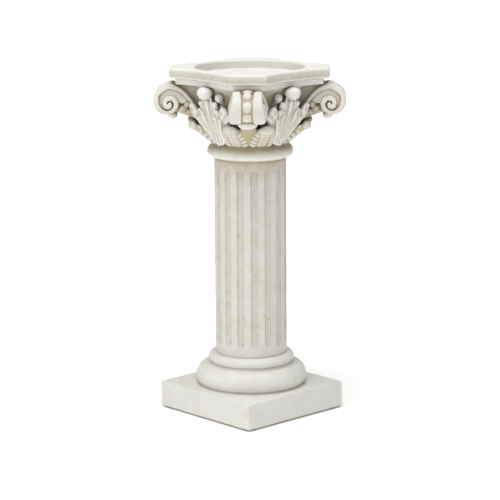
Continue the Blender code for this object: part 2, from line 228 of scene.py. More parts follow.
def stretch(value, low, high, out_low=0.0, out_high=1.0):
    """Maps a range to another with soft ends, and clamps it."""
    node = nodes.new("ShaderNodeMapRange")
    node.interpolation_type = "SMOOTHSTEP"
    for name, number in (("From Min", low), ("From Max", high), ("To Min", out_low), ("To Max", out_high)):
        node.inputs[name].default_value = number
    links.new(value, node.inputs["Value"])
    return node.outputs["Result"]


def blend_colors(factor, first, second):
    """Mixes two colours or sockets by a factor."""
    node = nodes.new("ShaderNodeMix")
    node.data_type = "RGBA"
    links.new(factor, node.inputs["Factor"])
    for socket, value in ((node.inputs["A"], first), (node.inputs["B"], second)):
        if isinstance(value, tuple):
            socket.default_value = value
        else:
            links.new(value, socket)
    return node.outputs["Result"]


shut_in = nodes.new("ShaderNodeAmbientOcclusion")
shut_in.inputs["Distance"].default_value = RECESS
shut_in.samples = 12
depth = combine("SUBTRACT", 1.0, shut_in.outputs["AO"])
held = nodes.new("ShaderNodeAttribute")
held.attribute_name = "wash"
wash = held.outputs["Fac"]
patchy = stretch(noise(PATCH_SCALE, 4), 0.30, 0.72, *PATCH_AMOUNTS)
mottle = stretch(noise(MOTTLE_SCALE, 6, 0.65), 0.38, 0.75, 0.0, MOTTLE_MOST)
gathered = combine("MULTIPLY", combine("ADD", stretch(depth, *FILLS_OVER), wash), patchy, clamp=True)
light_glaze = combine("DIVIDE", combine("ADD", gathered, mottle, clamp=True), FULL_COVER, clamp=True)
rubbed_off = combine("MINIMUM", wash, 0.0)
overfull = combine("MAXIMUM", combine("SUBTRACT", wash, 1.0), 0.0)
deepest = combine("ADD", combine("ADD", depth, rubbed_off), overfull)
# Painted shade over the glaze: the most shut-in spots are darkened towards near black.
dark_glaze_and_shade = stretch(combine("MULTIPLY", deepest, patchy), *GLAZE_AND_SHADE_DARKEN_OVER, 0.0, DARKEST_GLAZE_AND_SHADE)
washed = blend_colors(light_glaze, STONE, GLAZE)
glazed_and_shaded = blend_colors(dark_glaze_and_shade, washed, DEEP_GLAZE_AND_SHADE)
links.new(glazed_and_shaded, shader.inputs["Base Color"])
fine = nodes.new("ShaderNodeBump")
fine.inputs["Strength"].default_value = 0.35
fine.inputs["Distance"].default_value = SAND_HEIGHT
links.new(noise(SAND_SCALE, 6, 0.6), fine.inputs["Height"])
links.new(fine.outputs["Normal"], shader.inputs["Normal"])


def closed_shell(rings, wash):
    """Points, faces and glaze of one closed skin over rings (rows, columns, 3).

    Ring j's point i joins ring j's next point and ring j+1's, and each end closes on its ring's middle.
    The faces turn outwards: they are reversed where the sum of a . (b x c) over triangles is negative.
    """
    rows, columns, _ = rings.shape
    points = np.concatenate([rings.reshape(-1, 3), rings[:1].mean(1), rings[-1:].mean(1)])
    row, column = np.meshgrid(np.arange(rows - 1), np.arange(columns), indexing="ij")
    after = (column + 1) % columns
    quads = np.stack([row * columns + column, row * columns + after,
                      (row + 1) * columns + after, (row + 1) * columns + column], -1).reshape(-1, 4)
    around = np.arange(columns)
    follow = (around + 1) % columns
    foot = np.full(columns, rows * columns)
    low = np.stack([foot, follow, around], -1)
    high = np.stack([foot + 1, (rows - 1) * columns + around, (rows - 1) * columns + follow], -1)
    poles = np.concatenate([low, high])
    halves = np.concatenate([quads[:, [0, 1, 2]], quads[:, [0, 2, 3]], poles])
    a, b, c = points[halves].transpose(1, 0, 2)
    if (a * np.cross(b, c)).sum() < 0:
        quads, poles = quads[:, ::-1], poles[:, ::-1]
    values = np.broadcast_to(wash, (rows, columns)).reshape(-1)
    return points, quads, poles, np.concatenate([values, [values[0], values[-1]]])


def make_mesh(name, shells):
    """One mesh object from closed shells, written as whole arrays, with its glaze as an attribute."""
    points, quads, triangles, glaze, start = [], [], [], [], 0
    for shell in shells:
        points.append(shell[0])
        quads.append(shell[1] + start)
        triangles.append(shell[2] + start)
        glaze.append(shell[3])
        start += len(shell[0])
    points, quads, triangles = np.concatenate(points), np.concatenate(quads), np.concatenate(triangles)
    mesh = bpy.data.meshes.new(name)
    corners = np.concatenate([quads.ravel(), triangles.ravel()])
    sizes = np.concatenate([np.full(len(quads), 4), np.full(len(triangles), 3)])
    mesh.vertices.add(len(points))
    mesh.vertices.foreach_set("co", points.astype(np.float32).ravel())
    mesh.loops.add(len(corners))
    mesh.loops.foreach_set("vertex_index", corners.astype(np.int32))
    mesh.polygons.add(len(sizes))
    mesh.polygons.foreach_set("loop_start", (np.cumsum(sizes) - sizes).astype(np.int32))
    mesh.update(calc_edges=True)
    mesh.validate()
    mesh.shade_smooth()
    layer = mesh.attributes.new("wash", "FLOAT", "POINT")
    layer.data.foreach_set("value", np.concatenate(glaze).astype(np.float32))
    item = bpy.data.objects.new(name, mesh)
    bpy.context.scene.collection.objects.link(item)
    item.data.materials.append(stone)
    return item


def set_on_column(item):
    """The piece is part of the casting: it rides with it, stands for its solid and takes its finish."""
    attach(item, "root")
    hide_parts("column")


def ripple(points, size, height):
    """A hand-cast surface's slow unevenness: the sum of three sine waves in slanting directions."""
    x, y, z = (points / size).reshape(-1, 3).T
    wave = np.sin(x + 1.7 * y + 0.6 * z) + np.sin(1.3 * z - 1.9 * x + 2.0) + np.sin(2.1 * y - 1.1 * z + 4.0)
    return (height / 3 * wave).reshape(points.shape[:-1])


# Plinth
# A square slab of the casting, with crisp upper edges and corners and a blunt, slightly chipped lower
# edge, standing just clear of the floor on its feet.
PLINTH_HEIGHT = 0.0448
CORNER_ROUNDING = 0.0022
LOWER_EDGE = 0.0024
UPPER_EDGE = 0.0011
WEAR = ((0.013, 0.00022), (0.004, 0.00010))
RUBBED_OFF = -0.45
PLINTH_COLUMNS = 480
STRAIGHT = 0.94
plinth_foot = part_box("column")[0].z
plinth_top = plinth_foot + PLINTH_HEIGHT


def square_ring(half, rounding, columns):
    """A square's outline with rounded corners, as (columns, 2) points.

    Along each side t runs from -1 to 1: its straight part takes the first share of the points on both
    sides of the middle, in even steps, and the rest turn an eighth of a circle into the corner.
    """
    place = (np.arange(columns) + 0.5) / columns * 4
    side = np.floor(place)
    t = (place - side) * 2 - 1
    from_middle = np.abs(t)
    bend = np.clip((from_middle - STRAIGHT) / (1 - STRAIGHT), 0, 1) * math.pi / 4
    flat = half - rounding
    across = np.where(from_middle < STRAIGHT, from_middle / STRAIGHT * flat, flat + rounding * np.sin(bend))
    across *= np.sign(t)
    out = np.where(from_middle < STRAIGHT, half, flat + rounding * np.cos(bend))
    angle = side * math.pi / 2
    return np.stack([out * np.cos(angle) - across * np.sin(angle),
                     out * np.sin(angle) + across * np.cos(angle)], -1)


def edge_profile(low, high, low_round, high_round, steps):
    """(inset, height) down-to-up along a wall whose two edges are quarter circles of their own radii."""
    turn = np.linspace(0, math.pi / 2, steps)
    lower = np.stack([low_round * (1 - np.sin(turn)), low + low_round * (1 - np.cos(turn))], -1)
    upper = np.stack([high_round * (1 - np.cos(turn)), high - high_round * (1 - np.sin(turn))], -1)
    rise = np.linspace(low + low_round, high - high_round, 14)[1:-1]
    wall = np.stack([np.zeros(len(rise)), rise], -1)
    return np.concatenate([lower, wall, upper])


half = PLINTH_SIDE / 2
caps = np.linspace(0.02, 0.97, 14)
outlines = [(half * share, CORNER_ROUNDING * share, plinth_foot) for share in caps]
for inset, height in edge_profile(plinth_foot, plinth_top, LOWER_EDGE, UPPER_EDGE, 6):
    outlines.append((half - inset, CORNER_ROUNDING, height))
outlines += [(half * share, CORNER_ROUNDING * share, plinth_top) for share in caps[::-1]]
rings = np.empty((len(outlines), PLINTH_COLUMNS, 3))
for ring, (reach, rounding, height) in zip(rings, outlines):
    ring[:, :2] = square_ring(reach, rounding, PLINTH_COLUMNS)
    ring[:, 2] = height
wear = sum(ripple(rings, *waves) for waves in WEAR)
from_middle = rings - np.array([0, 0, plinth_foot + PLINTH_HEIGHT / 2])
rings -= from_middle / np.linalg.norm(from_middle, axis=-1, keepdims=True) * np.abs(wear)[..., None]
plinth = make_mesh("plinth", [closed_shell(rings, RUBBED_OFF)])
set_on_column(plinth)

# Base
# A wide torus, a thin groove and a narrow torus, turned and cast as one with the plinth. Glaze has
# settled in the groove and along both joints.
LOWER_TORUS_RADIUS = 0.0978
LOWER_TORUS_HEIGHT = 0.0355
GROOVE_RADIUS = 0.0735
GROOVE_HEIGHT = 0.0039
UPPER_TORUS_RADIUS = 0.0754
UPPER_TORUS_HEIGHT = 0.0175
SHAFT_RADIUS = 0.0627
BELLY_SHARE = 0.38
CUSHION_SHARE = 0.56
UNDER_BELLY = 0.46
OVER_BELLY = 0.67
LEDGE = 0.0012
LET_IN = 0.0040
FILLET = 0.0032
SOFTENED = 0.0004
NICK = 0.0006
GROOVE_GLAZE = (0.0030, 0.55)
FOOT_GLAZE = (0.0030, 0.42)
NECK_GLAZE = (0.0012, 0.25)
BASE_RIPPLE = (0.011, 0.00025)
groove_foot = plinth_top + LOWER_TORUS_HEIGHT
upper_torus_foot = groove_foot + GROOVE_HEIGHT
shaft_foot = upper_torus_foot + UPPER_TORUS_HEIGHT


def arc(centre, radii, start, end, steps):
    """Points of an ellipse's arc in the (radius, height) plane, between two angles in degrees."""
    angle = np.radians(np.linspace(start, end, steps))
    return np.stack([centre[0] + radii[0] * np.cos(angle), centre[1] + radii[1] * np.sin(angle)], -1)


def turned(profile, columns=256):
    """Rings of a turned body: each (radius, height) of the profile, carried all the way round."""
    angle = np.arange(columns) / columns * 2 * math.pi
    radius = profile[:, :1]
    height = np.broadcast_to(profile[:, 1:], (len(profile), columns))
    return np.stack([radius * np.cos(angle), radius * np.sin(angle), height], -1)


def settled(height, middle, width, amount):
    """Glaze that lies along a line at one height: a bell curve of this width."""
    return amount * np.exp(-((height - middle) / width) ** 2)


def uneven(rings, size, height):
    """Moves points in or out from the axis by the cast surface's slow ripple."""
    reach = np.maximum(np.linalg.norm(rings[..., :2], axis=-1, keepdims=True), 1e-6)
    moved = rings.copy()
    moved[..., :2] += rings[..., :2] / reach * ripple(rings, size, height)[..., None]
    return moved


cushion = LOWER_TORUS_HEIGHT * CUSHION_SHARE
middle = (LOWER_TORUS_RADIUS - cushion, plinth_top + LOWER_TORUS_HEIGHT * BELLY_SHARE)
ring = UPPER_TORUS_HEIGHT / 2
foot = arc(middle, (cushion, LOWER_TORUS_HEIGHT * UNDER_BELLY), -46, 0, 22)
foot_radius = foot[0, 0]
profile = np.concatenate([
    [(foot_radius + FILLET, plinth_top - LET_IN), (foot_radius + FILLET, plinth_top + SOFTENED / 4),
     (foot_radius + 0.35 * FILLET, plinth_top + 0.35 * FILLET)],
    foot[1:],
    arc(middle, (cushion, LOWER_TORUS_HEIGHT * OVER_BELLY), 0, 68, 30)[1:],
    [(GROOVE_RADIUS + SOFTENED, groove_foot + NICK), (GROOVE_RADIUS, groove_foot + GROOVE_HEIGHT * 0.4),
     (GROOVE_RADIUS - LEDGE * 0.6, upper_torus_foot - NICK)],
    arc((UPPER_TORUS_RADIUS - ring, upper_torus_foot + ring), (ring, ring), -66, 70, 26),
    [(SHAFT_RADIUS + LEDGE, shaft_foot), (SHAFT_RADIUS - LET_IN, shaft_foot)],
])
height = profile[:, 1]
glaze = RUBBED_OFF + settled(height, groove_foot + GROOVE_HEIGHT / 2, *GROOVE_GLAZE)
glaze += settled(height, plinth_top, *FOOT_GLAZE) + settled(height, shaft_foot, *NECK_GLAZE)
base = make_mesh("base", [closed_shell(uneven(turned(profile), *BASE_RIPPLE), glaze[:, None])])
set_on_column(base)

# Shaft
# A straight shaft with sixteen shallow round-ended flutes. The casting left a few pinholes in it, given
# by their angle from the front corner in degrees and their height. The flutes hold a thin film of glaze.
# Their edges and the shaft's top under the collar hold glaze with painted shade.
SHAFT_LENGTH = 0.3445
FLUTES = 16
FLUTE_WIDTH = 0.0121
FLUTE_DEPTH = 0.0026
FLUTE_LOW_MARGIN = 0.0190
FLUTE_HIGH_MARGIN = 0.0135
FIRST_FLUTE = math.radians(7.5)
CORNER = -math.pi / 4
QUARTER = math.pi / 2
PINHOLES = (
    (-34.5, 0.266), (-34.0, 0.220), (-12.0, 0.178), (-34.0, 0.162), (-35.5, 0.130), (-13.0, 0.128),
    (8.5, 0.252), (33.0, 0.174), (26.5, 0.178), (-34.5, 0.380), (-18.5, 0.322), (8.0, 0.402),
)
PINHOLE_RADIUS = 0.0012
PINHOLE_DEPTH = 0.0014
SHAFT_FILM = 0.13
FLUTE_FILM = 0.14
FLUTE_EDGE_GLAZE_AND_SHADE = (0.92, 0.09, 0.30)
PINHOLE_GLAZE = 1.5
SHAFT_FOOT_GLAZE = (0.0020, 0.25)
COLLAR_SHADE = (0.0045, 0.42)
SHAFT_TOP_GLAZE_AND_SHADE = (0.022, 0.30)
SHAFT_RIPPLE = (0.010, 0.0002)
FLUTE_BEND = 0.001
ACROSS_FLUTE = (0, 0.3, 0.55, 0.72, 0.82, 0.89, 0.94, 0.98, 1.02, 1.10)
shaft_top = shaft_foot + SHAFT_LENGTH
round_end = FLUTE_WIDTH / 2
flute_low = shaft_foot + FLUTE_LOW_MARGIN + round_end
flute_high = shaft_top - FLUTE_HIGH_MARGIN - round_end
hole_angles = np.array([CORNER + math.radians(a) for a, _ in PINHOLES])
hole_heights = np.array([z for _, z in PINHOLES])
span = 2 * math.pi / FLUTES
lip = round_end / SHAFT_RADIUS
across = np.array(ACROSS_FLUTE) * lip
between = np.linspace(across[-1], span - across[-1], 6)[1:-1]
one_flute = np.concatenate([-across[:0:-1], across, between])
angles = (CORNER + FIRST_FLUTE + span * np.arange(FLUTES)[:, None] + one_flute).ravel()
near_holes = hole_angles[:, None] + np.linspace(-1, 1, 7) * PINHOLE_RADIUS / SHAFT_RADIUS
angles = np.unique(np.concatenate([angles, near_holes.ravel()]) % (2 * math.pi))
past_end = round_end * ACROSS_FLUTE[-1]
marks = (shaft_foot - LET_IN, flute_low - past_end, flute_low + FLUTE_BEND,
         flute_high - FLUTE_BEND, flute_high + past_end, shaft_top + LET_IN)
heights = [np.linspace(low, high, steps) for low, high, steps in zip(marks, marks[1:], (8, 20, 26, 20, 6))]
heights.append((hole_heights[:, None] + np.linspace(-1, 1, 7) * PINHOLE_RADIUS).ravel())
heights = np.unique(np.round(np.concatenate(heights), 6))
angle, height = np.meshgrid(angles, heights)
turned_by = (angle - CORNER - FIRST_FLUTE + span / 2) % span - span / 2
along_flute = height - np.clip(height, flute_low, flute_high)
from_line = np.hypot(turned_by * SHAFT_RADIUS, along_flute) / round_end
sunk = FLUTE_DEPTH * np.clip(1 - np.abs(from_line) ** 4, 0, 1)
aside = (angle[..., None] - hole_angles + math.pi) % (2 * math.pi) - math.pi
from_hole = np.hypot(aside * SHAFT_RADIUS, height[..., None] - hole_heights).min(-1) / PINHOLE_RADIUS
pit = np.clip(1 - from_hole ** 2, 0, 1)
radius = SHAFT_RADIUS - sunk - PINHOLE_DEPTH * pit
rings = np.stack([radius * np.cos(angle), radius * np.sin(angle), height], -1)
glaze = SHAFT_FILM + FLUTE_FILM * np.clip(1.6 - 1.6 * from_line ** 6, 0, 1) + PINHOLE_GLAZE * pit
# Along the flutes' edges: glaze with painted shade.
glaze += settled(from_line, *FLUTE_EDGE_GLAZE_AND_SHADE) + settled(height, shaft_foot, *SHAFT_FOOT_GLAZE)
# Under the collar: glaze with painted shade on the shaft's top.
glaze += settled(height, shaft_top + LET_IN, *COLLAR_SHADE) + settled(height, shaft_top, *SHAFT_TOP_GLAZE_AND_SHADE)
shaft = make_mesh("shaft", [closed_shell(uneven(rings, *SHAFT_RIPPLE), glaze)])
set_on_column(shaft)

# Astragal and bell
# The plain swelling collar on top of the shaft, and the bell that the leaves grow from. The glaze is
# heaviest on the slope above the collar and in the hollows beside the buds.
ASTRAGAL_RADIUS = 0.0752
ASTRAGAL_HEIGHT = 0.0315
BELL_HEIGHT = 0.1008
BELL_FOOT_RADIUS = 0.0600
BELL_LIP_RADIUS = 0.0960
BELL_FLARE = 1.6
BELL_FILM = 0.28
BELL_RIPPLE = (0.010, 0.0003)
COLLAR_RISE = 0.0034
COLLAR_FULLNESS = 0.90
COLLAR_MIDDLE = 0.44
COLLAR_HALF = 0.40
COLLAR_GLAZE = (0.0015, 0.45)
SLOPE_DROP = 0.002
SLOPE_GLAZE = (0.0115, 0.85)
HOLLOW_ANGLE = math.radians(26)
HOLLOW_SPREAD = math.radians(6)
HOLLOW_HIGH = 0.5560
HOLLOW_TALL = 0.013
HOLLOW_GLAZE = 1.2
collar_foot = shaft_top + COLLAR_RISE
bell_foot = shaft_top + ASTRAGAL_HEIGHT
bell_top = bell_foot + BELL_HEIGHT


def bell_radius(share):
    """The bell's radius at a share of its height: it widens faster towards its lip."""
    return BELL_FOOT_RADIUS + (BELL_LIP_RADIUS - BELL_FOOT_RADIUS) * np.clip(share, 0, 1) ** BELL_FLARE


swell = ASTRAGAL_RADIUS - SHAFT_RADIUS
bulge = COLLAR_FULLNESS * swell
half_height = COLLAR_HALF * ASTRAGAL_HEIGHT
middle = (ASTRAGAL_RADIUS - bulge, shaft_top + COLLAR_MIDDLE * ASTRAGAL_HEIGHT)
share = np.linspace(0.02, 1, 40)
profile = np.concatenate([
    [(SHAFT_RADIUS - LET_IN, collar_foot), (SHAFT_RADIUS + 0.15 * swell, collar_foot)],
    arc(middle, (bulge, half_height - COLLAR_RISE), -75, 0, 16),
    arc(middle, (bulge, half_height), 0, 62, 15)[1:],
    [(ASTRAGAL_RADIUS - 0.75 * swell, bell_foot), (bell_radius(0.0), bell_foot + SOFTENED)],
    np.stack([bell_radius(share), bell_foot + share * BELL_HEIGHT], -1),
    [(BELL_LIP_RADIUS, bell_top + LET_IN)],
])
height = profile[:, 1]
glaze = settled(height, collar_foot, *COLLAR_GLAZE) + np.where(height > bell_foot, BELL_FILM, 0)
glaze += settled(height, bell_foot - SLOPE_DROP, *SLOPE_GLAZE)
rings = turned(profile)
from_corner = (np.arctan2(rings[..., 1], rings[..., 0]) + QUARTER / 2) % QUARTER
beside_bud = np.minimum(np.abs(from_corner - HOLLOW_ANGLE), np.abs(from_corner - QUARTER + HOLLOW_ANGLE))
hollow = np.exp(-(beside_bud / HOLLOW_SPREAD) ** 2 - ((rings[..., 2] - HOLLOW_HIGH) / HOLLOW_TALL) ** 2)
glaze = glaze[:, None] + HOLLOW_GLAZE * hollow
bell = make_mesh("astragal_and_bell", [closed_shell(uneven(rings, *BELL_RIPPLE), glaze)])
set_on_column(bell)

# Top slab and well
# A fascia and a slab over it, both with hollow sides and cut corners, and the round well sunk in the
# top. The slab's edges are softly rounded and its top is rubbed clean. Its sides hold glaze with painted
# shade, heavier towards their foot, and the step under the slab holds glaze with a painted shade line.
FASCIA_HEIGHT = 0.0115
FASCIA_INSET = 0.0100
SLAB_HEIGHT = 0.0168
SLAB_CORNER = 0.1378
SLAB_CHAMFER = 0.0650
SLAB_HOLLOW = 0.0100
SLAB_ROUNDING = 0.0022
WELL_RADIUS = 0.0955
WELL_DEPTH = 0.0150
WELL_ROUNDING = 0.0022
PLAN_ROUNDING = 0.0030
SIDE_CURVE = 2.2
OUTLINE_POINTS = 4000
FASCIA_CHAMFER = SLAB_CHAMFER - 1.5 * FASCIA_INSET
FASCIA_HOLLOW = SLAB_HOLLOW * 0.85
UNDER_FASCIA_FILM = 0.40
FASCIA_EDGE_FILM = 0.12
FASCIA_FILM = -0.14
STEP_GLAZE_AND_SHADE = (0.0022, 0.75)
STEP_CORNER_GLAZE_AND_SHADE = 0.90
UNDER_SLAB_FILM = 0.35
SLAB_EDGE_FILM = 0.04
SIDE_GLAZE_AND_SHADE = 0.58
SIDE_GLAZE_AND_SHADE_FADE = 0.42
WELL_SIDE_FILM = 0.05
WELL_EDGE_FILM = 0.06
slab_foot = bell_top + FASCIA_HEIGHT
slab_top = slab_foot + SLAB_HEIGHT


def octagon_radius(corner, chamfer, hollow, inset, angles):
    """Distance from the axis to the edge of a square with cut corners and hollow sides, at each angle.

    The outline is sampled evenly and its corners are rounded by a moving average along it.
    """
    reach = corner - inset
    half_cut = chamfer / 2 - inset * math.tan(math.pi / 8)
    near = (reach - half_cut) / math.sqrt(2)
    far = (reach + half_cut) / math.sqrt(2)
    t = np.linspace(-1, 1, 121)
    out = far - hollow * (1 - np.abs(t) ** SIDE_CURVE)
    turn = QUARTER * np.arange(4)[:, None]
    x = (out * np.cos(turn) - near * t * np.sin(turn)).ravel()
    y = (out * np.sin(turn) + near * t * np.cos(turn)).ravel()
    x, y = np.append(x, x[0]), np.append(y, y[0])
    length = np.concatenate([[0], np.cumsum(np.hypot(np.diff(x), np.diff(y)))])
    even = np.linspace(0, length[-1], OUTLINE_POINTS + 1)[:-1]
    window = int(PLAN_ROUNDING / (length[-1] / OUTLINE_POINTS))
    kernel = np.ones(2 * window + 1) / (2 * window + 1)
    padded = [np.pad(np.interp(even, length, values), window, mode="wrap") for values in (x, y)]
    x, y = (np.convolve(values, kernel, "valid") for values in padded)
    polar = np.arctan2(y, x) % (2 * math.pi)
    order = np.argsort(polar)
    return np.interp(angles, polar[order], np.hypot(x, y)[order], period=2 * math.pi)


cut_angle = math.atan2(SLAB_CORNER - SLAB_CHAMFER / 2, SLAB_CORNER + SLAB_CHAMFER / 2)
cuts = np.array([QUARTER * k + way * cut_angle for k in range(4) for way in (-1, 1)])
near_cuts = (cuts[:, None] + np.radians(np.linspace(-2.2, 2.2, 11))).ravel()
angles = np.concatenate([np.linspace(0, 2 * math.pi, 385)[:-1], near_cuts]) % (2 * math.pi)
angles = np.unique(np.round(angles, 7))
radii, levels, film = [], [], []


def add_level(radius, level, amount=0.0):
    """Notes one more ring of the slab: its distance from the axis at each angle, its height and glaze."""
    radii.append(np.broadcast_to(radius, angles.shape))
    levels.append(level)
    film.append(amount)


def fascia(inset):
    """The fascia's distance from the axis at each angle, drawn in by an inset."""
    return octagon_radius(SLAB_CORNER - FASCIA_INSET, FASCIA_CHAMFER, FASCIA_HOLLOW, inset, angles)


def slab(inset):
    """The slab's distance from the axis at each angle, drawn in by an inset."""
    return octagon_radius(SLAB_CORNER, SLAB_CHAMFER, SLAB_HOLLOW, inset, angles)


def quarter_round(steps):
    """Pairs (1 - sin, 1 - cos) of an angle that goes from 0 to a quarter turn, in this many values."""
    return [(1 - math.sin(turn), 1 - math.cos(turn)) for turn in np.linspace(0, QUARTER, steps)]


for share in (0.3, 0.6, 0.8, 0.9, 0.96):
    add_level(fascia(LEDGE) * share, bell_top, UNDER_FASCIA_FILM)
for inset, rise in quarter_round(5):
    add_level(fascia(LEDGE * inset), bell_top + LEDGE * rise, FASCIA_EDGE_FILM)
# The fascia's wall, then the step under the slab: glaze with a painted shade line along the step.
for level in np.linspace(bell_top + LEDGE, slab_foot - SOFTENED, 8)[1:]:
    add_level(fascia(0), level, FASCIA_FILM + settled(level, slab_foot, *STEP_GLAZE_AND_SHADE))
add_level(fascia(-SOFTENED), slab_foot, STEP_CORNER_GLAZE_AND_SHADE)
for share in (0.35, 0.7):
    underside = fascia(-SOFTENED) * (1 - share) + slab(SLAB_ROUNDING) * share
    add_level(underside, slab_foot, UNDER_SLAB_FILM)
for inset, rise in quarter_round(6):
    add_level(slab(SLAB_ROUNDING * inset), slab_foot + SLAB_ROUNDING * rise, SLAB_EDGE_FILM)
# The slab's sides: glaze with painted shade, heavier towards their foot.
for level in np.linspace(slab_foot + SLAB_ROUNDING, slab_top - SLAB_ROUNDING, 8)[1:-1]:
    add_level(slab(0), level, SIDE_GLAZE_AND_SHADE - SIDE_GLAZE_AND_SHADE_FADE * (level - slab_foot) / SLAB_HEIGHT)
for inset, drop in quarter_round(6)[::-1]:
    add_level(slab(SLAB_ROUNDING * inset), slab_top - SLAB_ROUNDING * drop)
rim = slab(SLAB_ROUNDING)
for share in np.linspace(0, 1, 14)[1:]:
    add_level(rim * (1 - share) + (WELL_RADIUS + WELL_ROUNDING) * share, slab_top)
for out, drop in quarter_round(6)[1:]:
    add_level(WELL_RADIUS + WELL_ROUNDING * out, slab_top - WELL_ROUNDING * drop)
well_floor = slab_top - WELL_DEPTH
for level in np.linspace(slab_top - WELL_ROUNDING, well_floor + WELL_ROUNDING, 5)[1:]:
    add_level(WELL_RADIUS, level, WELL_SIDE_FILM)
for rise, inset in quarter_round(6)[1:]:
    add_level(WELL_RADIUS - WELL_ROUNDING * inset, well_floor + WELL_ROUNDING * rise, WELL_EDGE_FILM)
for share in np.linspace(0.95, 0.05, 12):
    add_level((WELL_RADIUS - WELL_ROUNDING) * share, well_floor)
radii, levels = np.array(radii), np.array(levels)[:, None]
rings = np.stack([radii * np.cos(angles), radii * np.sin(angles), np.broadcast_to(levels, radii.shape)], -1)
rings[..., 2] += ripple(rings, 0.016, 0.00025) * (levels > slab_foot)
top = make_mesh("top_slab", [closed_shell(uneven(rings, 0.014, 0.0003), np.array(film)[:, None])])
set_on_column(top)

# Corner volutes
# Each corner has two spiral bands that splay apart, on a thinner sunk core, with a string of beads
# between them, a tongue below and small calyx lobes behind. All are cast with the slab.
VOLUTE_HEIGHT = 0.0545
VOLUTE_REACH = 0.0277
VOLUTE_WIDTH = 0.0438
VOLUTE_SPLAY = math.radians(5)
VOLUTE_WIDENING = 0.0115
BAND_THICKNESS = 0.0127
BEADS = (
    (-0.10, 0.600, (0.0150, 0.0175, 0.0095)), (0.095, 0.465, (0.0170, 0.0182, 0.0178)),
    (0.270, 0.190, (0.0190, 0.0203, 0.0195)), (0.225, -0.095, (0.0190, 0.0212, 0.0185)),
)
EYE_BACK = 0.447
EYE_DROP = 0.643
SPIRAL_OUTER = (
    0.643, 0.552, 0.447, 0.395, 0.346, 0.340, 0.359, 0.325,
    0.252, 0.200, 0.162, 0.163, 0.173, 0.165, 0.146, 0.105,
)
SPIRAL_INNER = (
    0.447, 0.362, 0.262, 0.232, 0.207, 0.196, 0.192, 0.148,
    0.060, 0.010, 0.0, 0.0, 0.0, 0.0, 0.0, 0.0,
)
STRAP_UPPER = ((-1.00, -0.14), (-0.86, 0.03), (-0.71, 0.23), (-0.52, 0.43), (-0.27, 0.585))
STRAP_LOWER = ((-0.93, -0.20), (-0.77, -0.02), (-0.62, 0.165), (-0.44, 0.335), (-0.22, 0.435))
CALYX = (
    ((-0.76, 0.05, 0.75, 0.60, 0.8), (-0.64, 0.00, 0.45, 0.76, 0.8), (-0.54, -0.07, 0.42, 0.62, 0.7)),
    ((-0.60, -0.10, 0.75, 0.60, 0.8), (-0.47, -0.17, 0.45, 0.78, 0.8), (-0.385, -0.26, 0.42, 0.62, 0.7)),
    ((-0.86, -0.20, 0.95, 0.60, 0.8), (-0.72, -0.22, 0.70, 0.74, 0.8), (-0.60, -0.29, 0.62, 0.62, 0.7)),
)
BAND_FILM = 0.17
CALYX_FILM = 0.40
TONGUE_FILM = 0.08
CORE_DEEP = 0.84
CORE_FILM = 0.40
CORE_RIM_FILM = 0.90
CORE_TOP = ((-0.24, EYE_DROP + 0.03),)
CORE_UNDER = ((-0.30, -0.29),)
PANEL_DEEP = 0.36
PANEL_FILM = 0.14
PANEL_RIM_FILM = 0.75
PANEL_TAIL = ((-0.50, 0.02), (-0.74, 0.07), (-0.58, 0.24), (-0.37, 0.42), (-0.18, 0.51))
PANEL_SHARE = 0.82
LOBE_WIDTH = 0.0140
TONGUE_SPOT = (-0.12, -0.385)
TONGUE_WIDTH = 0.0330
TONGUE_DEPTH = 0.0180
TONGUE_HEIGHT = 0.0165
UPWARDS = np.array([0, 0, 1.0])
volute_rim = SLAB_CORNER + VOLUTE_REACH
eye_out = volute_rim - EYE_BACK * VOLUTE_HEIGHT
eye_high = bell_top + LEDGE - EYE_DROP * VOLUTE_HEIGHT


def smooth_line(points, steps):
    """A Catmull-Rom curve through rows of any dimension, with this many steps in each span."""
    points = np.asarray(points, float)
    ends = np.concatenate([points[:1], points, points[-1:]])[:, None]
    t = (np.arange(steps) / steps)[:, None]
    a, b, c, d = (ends[i:len(ends) - 3 + i] for i in range(4))
    curve = 2 * b + (c - a) * t + (2 * a - 5 * b + 4 * c - d) * t ** 2 + (3 * b - a - 3 * c + d) * t ** 3
    return np.concatenate([0.5 * curve.reshape(-1, points.shape[1]), points[-1:]])


def along(angle):
    """Outward and sideways directions at an angle around the column."""
    return np.array([math.cos(angle), math.sin(angle), 0]), np.array([-math.sin(angle), math.cos(angle), 0])


def loft(line, widths, depths, sideways, crown=0.0, groove=0.0, sides=28):
    """Rings of a rounded bar along a line, with a half width and half depth at each of its points.

    Crown bends its edges back, and groove sinks a channel along its outer face, both as shares.
    """
    ahead = np.gradient(line, axis=0)
    ahead /= np.linalg.norm(ahead, axis=-1, keepdims=True)
    across = sideways - (sideways * ahead).sum(-1, keepdims=True) * ahead
    across /= np.linalg.norm(across, axis=-1, keepdims=True)
    outward = np.cross(across, ahead)
    turn = 2 * math.pi * np.arange(sides) / sides
    side, lift = np.cos(turn), np.sin(turn)
    channel = groove * np.exp(-(side / 0.30) ** 2) * (lift > 0)
    raised = depths[:, None] * (lift - channel) - crown * widths[:, None] * side ** 2
    aside = widths[:, None] * side
    return line[:, None] + across[:, None] * aside[..., None] + outward[:, None] * raised[..., None]


def blunt(count, head=0.12, tail=0.12):
    """Shares that close a bar's two ends as half rounds over these parts of its length."""
    place = np.linspace(0, 1, count)
    start = np.clip(place / head, 0.02, 1)
    end = np.clip((1 - place) / tail, 0.02, 1)
    return np.sqrt(1 - (1 - start) ** 2) * np.sqrt(1 - (1 - end) ** 2)


